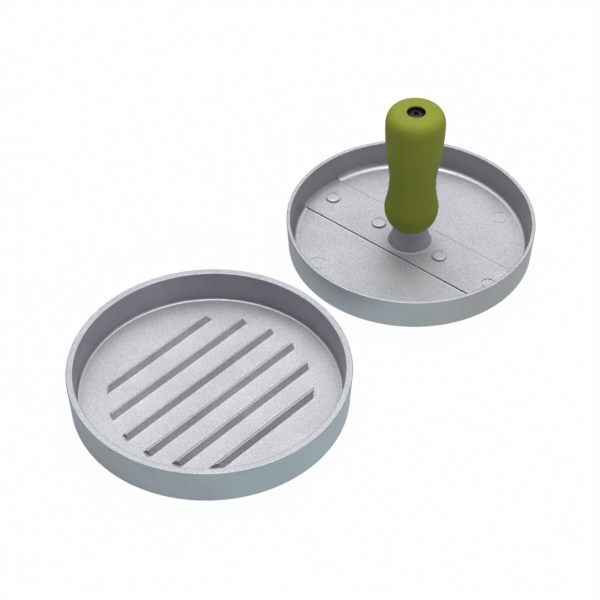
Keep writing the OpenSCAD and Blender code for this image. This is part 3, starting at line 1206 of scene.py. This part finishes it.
@dataclass
class Handle:
    """The handle: a hard core in a soft skin that turns in round the screw hole."""

    length: float
    foot_r: float = 7.5
    bulb_r: float = 12.2
    bulb_z: float = 10.4
    waist_r: float = 10.4
    waist_z: float = 27.8
    top_r: float = 13.2
    crown_h: float = 6.9
    flat_r: float = 8.5
    skin_t: float = 2.0
    hole_r: float = 4.1
    hole_edge: float = 0.25
    foot_edge: float = 0.35
    collar_w: float = 1.4
    lip: float = 0.6
    shank_hole_r: float = 2.2
    seat_z: float = 59.2

    @property
    def collar_r(self) -> float:
        """Radius of the core's collar."""
        return self.hole_r + self.collar_w

    @property
    def lip_z(self) -> float:
        """Height of the collar's top, under the skin's lip."""
        return self.length - self.lip

    @property
    def shoulder_z(self) -> float:
        """Height of the core's flat top, round the collar."""
        return self.length - self.skin_t

    def bends(self, inset: float) -> list[Knot]:
        """Gives the knots of the handle's outline from its foot to the edge of its flat top.

        Args:
            inset: How far the outline is drawn in.

        Returns:
            For each knot, its handle before, itself and its handle after.
        """
        top_z = self.length - self.crown_h
        foot = (self.foot_r - inset, 0.0)
        bulb = (self.bulb_r - inset, self.bulb_z)
        waist = (self.waist_r - inset, self.waist_z)
        top = (self.top_r - inset, top_z)
        flat = (self.flat_r - inset, self.length - inset)
        rise = waist[1] - bulb[1]
        swell = top[1] - waist[1]
        crown = flat[1] - top[1]
        knots = (
            (foot, foot, (foot[0] + 0.46 * (bulb[0] - foot[0]), 0.12 * bulb[1])),
            ((bulb[0], 0.45 * bulb[1]), bulb, (bulb[0], bulb[1] + 0.16 * rise)),
            ((waist[0], waist[1] - 0.7 * rise), waist, (waist[0], waist[1] + 0.08 * swell)),
            ((top[0], top[1] - 0.52 * swell), top, (top[0], top[1] + 0.82 * crown)),
            ((flat[0] + 0.4 * (top[0] - flat[0]), flat[1]), flat, flat),
        )
        return [tuple((x, 0.0, z) for x, z in knot) for knot in knots]

    def build_skin(self) -> Workpiece:
        """Models the soft skin by spinning its closed section.

        Returns:
            The skin, standing on the origin.
        """
        outer = Workpiece.outline("grip", self.bends(0), 14)
        inner = Workpiece.outline("grip_inside", self.bends(self.skin_t), 14)
        edge = self.hole_edge
        with outer.edit():
            outer.pick_points(lambda point: point.z > self.length - 0.001)
            outer.draw_on([(self.hole_r + edge, self.length),
                           (self.hole_r + 0.3 * edge, self.length - 0.3 * edge),
                           (self.hole_r, self.length - edge), (self.hole_r, self.lip_z),
                           (self.collar_r, self.lip_z), (self.collar_r, self.shoulder_z)])
        outer.join([inner])
        shoulder = (self.collar_r, self.flat_r - self.skin_t)
        with outer.edit():
            outer.pick_points(lambda point: abs(point.z) < 0.01)
            bpy.ops.mesh.edge_face_add()
            outer.pick_points(lambda point: abs(point.z - self.shoulder_z) < 0.01
                              and any(abs(point.x - radius) < 0.01 for radius in shoulder))
            bpy.ops.mesh.edge_face_add()
        outer.spin(160)
        with outer.edit():
            outer.pick_ring(self.foot_r, 0)
            outer.bevel(self.foot_edge, 3)
        outer.smooth(40)
        return outer

    def build_core(self) -> Workpiece:
        """Models the hard core with its collar and the stepped hole for the screw.

        Returns:
            The core, standing on the origin.
        """
        core = Workpiece.outline("handle_middle", self.bends(self.skin_t), 10)
        with core.edit():
            core.pick_points(lambda point: point.z > self.shoulder_z - 0.001)
            core.draw_on([(self.collar_r, self.shoulder_z), (self.collar_r, self.lip_z),
                          (self.hole_r, self.lip_z), (self.hole_r, self.seat_z),
                          (self.shank_hole_r, self.seat_z), (self.shank_hole_r, 0)])
            core.pick_points(lambda point: point.z < 0.001)
            bpy.ops.mesh.edge_face_add()
        core.spin(96)
        core.smooth(40)
        return core


@dataclass
class HandleScrew:
    """The long machine screw that holds the handle, and its washer."""

    seat_z: float
    tip_z: float
    head_r: float = 3.75
    head_h: float = 2.6
    head_edge: float = 0.12
    dome_h: float = 1.3
    shank_r: float = 2.0
    washer_r: float = 3.85
    washer_hole_r: float = 2.15
    washer_t: float = 0.8
    thread_pitch: float = 0.7
    thread_h: float = 0.3
    thread_l: float = 24.0
    thread_start: float = 0.6
    recess_depth: float = 1.9
    recess_span: float = 4.4
    recess_w: float = 1.1

    def build_washer(self) -> Workpiece:
        """Models the washer: a flat ring, slightly rounded as a stamped washer is.

        Returns:
            The washer, placed from the handle's foot.
        """
        low = self.seat_z - self.washer_t
        ring = Workpiece.cylinder("flat_washer", self.washer_r, low, self.seat_z, 96)
        hole = Workpiece.cylinder("washer_hole", self.washer_hole_r, low - 1, self.seat_z + 1, 64)
        ring.combine(Cut.SUBTRACT, hole)
        with ring.edit():
            ring.pick_edges(lambda point: True, 40)
            ring.bevel(0.1, 2)
        ring.smooth()
        return ring

    def build_thread(self) -> Workpiece:
        """Winds the thread as one closed helix.

        Returns:
            The thread, up from the screw's tip.
        """
        free_hand()
        bpy.ops.mesh.primitive_circle_add(
            vertices=3, radius=self.thread_h * MM, fill_type="NOTHING", rotation=(math.pi / 2, 0, 0),
            location=((self.shank_r - self.thread_h) * MM, 0, (self.tip_z + self.thread_start) * MM))
        thread = Workpiece(bpy.context.object, "thread")
        thread.settle()
        winder = thread.obj.modifiers.new("winder", "SCREW")
        winder.screw_offset = self.thread_pitch * MM
        winder.iterations = int(self.thread_l / self.thread_pitch)
        winder.steps = 24
        winder.render_steps = 24
        winder.use_smooth_shade = False
        thread.take()
        bpy.ops.object.modifier_apply(modifier=winder.name)
        with thread.edit():
            bpy.ops.mesh.select_mode(type="EDGE")
            bpy.ops.mesh.select_non_manifold()
            bpy.ops.mesh.edge_face_add()
            bpy.ops.mesh.select_all(action="SELECT")
            bpy.ops.mesh.normals_make_consistent(inside=False)
        return thread

    def recess_cutter(self, top: float) -> Workpiece:
        """Models the cutter for the cross recess.

        Args:
            top: Height of the head's crown.

        Returns:
            Two crossed wings that narrow downwards.
        """
        low = top - self.recess_depth
        tall = self.recess_depth + 1
        wing = Workpiece.block("wing", (self.recess_span, self.recess_w, tall), (0, 0, low + tall / 2))
        with wing.edit():
            wing.pick_level(Side.UNDERSIDE)
            wing.resize(0.36, 0.7, 1, (0, 0, low))
        second = wing.copy("second_wing")
        second.turn(90)
        wing.combine(Cut.UNITE, second)
        return wing

    def build_screw(self) -> Workpiece:
        """Models the screw: domed head with a cross recess, shank and thread.

        Returns:
            The screw, placed from the handle's foot.
        """
        top = self.seat_z + self.head_h
        shoulder = top - self.dome_h
        rim, crown = (self.head_r, 0, shoulder), (0, 0, top)
        knots = [(rim, rim, (self.head_r, 0, top - self.dome_h / 2)),
                 ((self.head_r * 0.667, 0, top), crown, crown)]
        screw = Workpiece.outline("long_screw", knots, 12)
        core_r = self.shank_r - self.thread_h
        thread_top = self.tip_z + self.thread_l + self.thread_start
        with screw.edit():
            screw.pick_points(lambda point: abs(point.x - self.head_r) < 0.001 and point.z < shoulder + 0.001)
            screw.draw_on([(self.head_r, self.seat_z + self.head_edge),
                           (self.head_r - self.head_edge, self.seat_z), (self.shank_r, self.seat_z),
                           (self.shank_r, thread_top + 0.4), (core_r, thread_top),
                           (core_r, self.tip_z + 0.5), (core_r - 0.5, self.tip_z), (0, self.tip_z)])
        screw.spin(72)
        screw.combine(Cut.SUBTRACT, self.recess_cutter(top))
        screw.join([self.build_thread()])
        screw.smooth(32)
        return screw


@dataclass(frozen=True)
class SoftLight:
    """One broad soft light on the studio's dome."""

    azimuth: float
    height: float
    spread: float
    strength: float

    @property
    def towards(self) -> Vector:
        """Direction from the object to the middle of the light."""
        azimuth, height = math.radians(self.azimuth), math.radians(self.height)
        level = math.cos(height)
        return Vector((level * math.cos(azimuth), level * math.sin(azimuth), math.sin(height)))


@dataclass
class Studio:
    """The pale floor, the lamp, the dome of light and the camera."""

    camera_at: Point = (-388.6, -416.5, 595.0)
    camera_turn: Point = (46.498, 0.0, -46.82)
    lens: float = 116.35
    floor_half: float = 5000.0
    floor_dull: Colour = (0.62, 0.62, 0.62, 1)
    floor_light: Colour = (0.64, 0.64, 0.64, 1)
    seen_left: Colour = (0.79, 0.97, 0.99, 1)
    seen_right: Colour = (0.78, 0.83, 0.78, 1)
    floor_share: float = 0.985
    lamp_tint: Colour = (0.985, 0.995, 1.0, 1)
    ambient: Colour = (0.012, 0.018, 0.040, 1)
    paper: Colour = (1, 1, 1, 1)
    soft_lights: tuple[SoftLight, ...] = (
        SoftLight(0, 90, 50, 1.16), SoftLight(47, 78, 28, 1.80), SoftLight(220, 78, 28, 0.76),
        SoftLight(47, 60, 40, 0.76), SoftLight(317, 60, 40, 0.40), SoftLight(280, 18, 24, 0.50))

    def lay_floor(self, effects: Effects) -> None:
        """Lays the pale floor: white to the camera; in what the metal mirrors, a tinted glow with painted
        shade that dims it at and behind the objects.
        """
        free_hand()
        bpy.ops.mesh.primitive_plane_add(size=2 * self.floor_half * MM, location=(0, 0, 0))
        floor = Workpiece(bpy.context.object, "studio_floor")
        material = bpy.data.materials.new("pale_floor")
        material.use_nodes = True
        board = Board(material.node_tree)
        place = board.add("ShaderNodeTexCoord").outputs["Object"]
        clouds = board.mask(effects.clouds, Vector=place, Size=90.0)
        cloth = board.add("ShaderNodeBsdfPrincipled", {
            "Base Color": board.blend(clouds, self.floor_dull, self.floor_light), "Roughness": 0.85,
            "Specular IOR Level": 0.1})
        ray = board.add("ShaderNodeLightPath").outputs
        seen_in_metal = board.sum("MAXIMUM", ray["Is Glossy Ray"], ray["Is Transmission Ray"])
        # painted reflection: the glow that the metal mirrors is tinted from cyan on the left to grey-green on
        # the right
        across = board.remap(board.split(place)["X"], 30 * MM, 110 * MM)
        cool = board.blend(across, self.seen_left, self.seen_right)
        glow = board.add("ShaderNodeEmission", {"Color": board.blend(ray["Is Camera Ray"], cool, self.paper),
                                                "Strength": 1.0})
        # painted shade: the mirrored glow falls from full in front of the objects to about a third at and
        # behind them, standing in for their shadow on the table
        level = board.remap(board.dot(place, (0.3, -0.95, 0)), -50 * MM, 70 * MM, 0.34, 1.0)
        share = board.sum("MAXIMUM", board.times(ray["Is Camera Ray"], self.floor_share),
                          board.times(seen_in_metal, level))
        mix = board.add("ShaderNodeMixShader",
                        {0: share, 1: cloth.outputs["BSDF"], 2: glow.outputs["Emission"]})
        board.add("ShaderNodeOutputMaterial", {"Surface": mix.outputs["Shader"]})
        floor.obj.data.materials.append(material)

    def hang_lamp(self, name: str, at: Point, aim: Point, size: Place, radiance: float) -> None:
        """Hangs a soft white rectangular lamp.

        Args:
            name: Name of the lamp.
            at: Its middle.
            aim: The point that it faces.
            size: Its width and height.
            radiance: How bright its face is, where 1 is white.
        """
        light = bpy.data.lights.new(name, "AREA")
        light.shape = "RECTANGLE"
        light.size = size[0] * MM
        light.size_y = size[1] * MM
        light.energy = radiance * math.pi * light.size * light.size_y
        lamp = bpy.data.objects.new(name, light)
        lamp.location = Vector(at) * MM
        lamp.rotation_euler = (Vector(aim) - Vector(at)).to_track_quat("-Z", "Y").to_euler()
        bpy.context.scene.collection.objects.link(lamp)

    def light_dome(self) -> None:
        """Lights the room: dim low down and on the camera's side, bright above and behind."""
        world = bpy.data.worlds.new("studio")
        bpy.context.scene.world = world
        world.use_nodes = True
        board = Board(world.node_tree)
        place = board.add("ShaderNodeTexCoord").outputs["Generated"]
        total: Value = 0.0
        for light in self.soft_lights:
            edge = math.cos(math.radians(light.spread))
            lit = board.remap(board.dot(place, light.towards), edge, 1.0, 0.0, light.strength)
            total = board.sum("ADD", total, lit)
        lamps, room, paper = (
            board.add("ShaderNodeBackground", {"Color": colour, "Strength": strength}).outputs["Background"]
            for colour, strength in ((self.lamp_tint, total), (self.ambient, 1.0), (self.paper, 1.0)))
        both = board.add("ShaderNodeAddShader", {0: lamps, 1: room}).outputs["Shader"]
        ray = board.add("ShaderNodeLightPath").outputs
        plain = board.sum("MAXIMUM", ray["Is Camera Ray"], ray["Is Transmission Ray"])
        seen = board.add("ShaderNodeMixShader", {0: plain, 1: both, 2: paper})
        board.add("ShaderNodeOutputWorld", {"Surface": seen.outputs["Shader"]})

    def set_camera(self) -> None:
        """Sets the camera at the photograph's place."""
        data = bpy.data.cameras.new("camera")
        data.lens = self.lens
        data.sensor_width = 36
        data.clip_start = 0.05
        data.clip_end = 50
        camera = bpy.data.objects.new("camera", data)
        camera.location = Vector(self.camera_at) * MM
        camera.rotation_euler = [math.radians(angle) for angle in self.camera_turn]
        bpy.context.scene.collection.objects.link(camera)
        bpy.context.scene.camera = camera

    def build(self, effects: Effects) -> None:
        """Sets the whole studio up."""
        bpy.context.scene.view_settings.view_transform = "Standard"
        self.set_camera()
        self.lay_floor(effects)
        self.light_dome()
        self.hang_lamp("overhead", (70, 20, 1100), (60, 0, 0), (450, 450), 1.0)


def main() -> None:
    """Builds and dresses every piece."""
    logging.basicConfig(level=logging.INFO, format="%(message)s")
    effects = Effects()
    Studio().build(effects)

    twist = next(joint for joint in frame["joints"] if joint["name"] == "press_twist")
    axis_x, axis_y, foot_z = (value / MM for value in twist["pos_m"])
    foot = (axis_x, axis_y, foot_z)

    mould_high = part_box("mould")[1]
    mould = Mould("mould_casting", mould_high.x / MM, mould_high.z / MM, rim_w=3.0, floor_t=2.5, fillet=1.3)
    aluminium = CastAluminium(speckle=0.75)
    mould.build().dress(aluminium.material("cast_aluminium_mould", effects), Slot.CAST_ALUMINIUM,
                        Body.MOULD, "mould")

    standing = (axis_x, axis_y, mould.ridge_h)
    plate = PressPlate("press_casting", rim_r=56.3, height=15.5, rim_w=1.8, floor_t=1.9, fillet=3.0,
                       boss_top_z=foot_z - mould.ridge_h)
    aluminium = CastAluminium(standing, PRESS_TURN, fillet_r=52.5, fillet_w=2.8,
                              root_r=plate.boss_root_r + 0.45, lip_x=-plate.band_w / 2 - 0.65,
                              patches=plate.lands)
    plate.build(standing, PRESS_TURN).dress(aluminium.material("cast_aluminium_press", effects),
                                            Slot.CAST_ALUMINIUM, Body.PRESS, "press_plate")

    handle = Handle(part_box("grip_skin")[1].z / MM - foot_z)
    skin = handle.build_skin()
    skin.move(*foot)
    skin.dress(SoftTouch(foot, PRESS_TURN).material("soft_touch_green", effects), Slot.SOFT_GRIP,
               Body.PRESS, "grip_skin")
    core = handle.build_core()
    core.move(*foot)
    core.dress(BlackPlastic(foot).material("black_core", effects), Slot.CORE_PLASTIC, Body.PRESS,
               "handle_core")

    fixing = HandleScrew(seat_z=handle.seat_z + 0.8, tip_z=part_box("screw")[0].z / MM - foot_z)
    washer = fixing.build_washer()
    washer.move(*foot)
    washer.dress(Steel(foot).material("zinc_washer", effects), Slot.PLATED_STEEL, Body.CARRIER, "washer")
    screw = fixing.build_screw()
    screw.move(*foot)
    oxide = Steel(foot, 20, coat=(0.055, 0.055, 0.058, 1), worn=(0.20, 0.19, 0.18, 1), roughness=0.45)
    screw.dress(oxide.material("black_oxide_screw", effects), Slot.BLACK_STEEL, Body.PRESS, "screw")


if __name__ == "__main__":
    main()
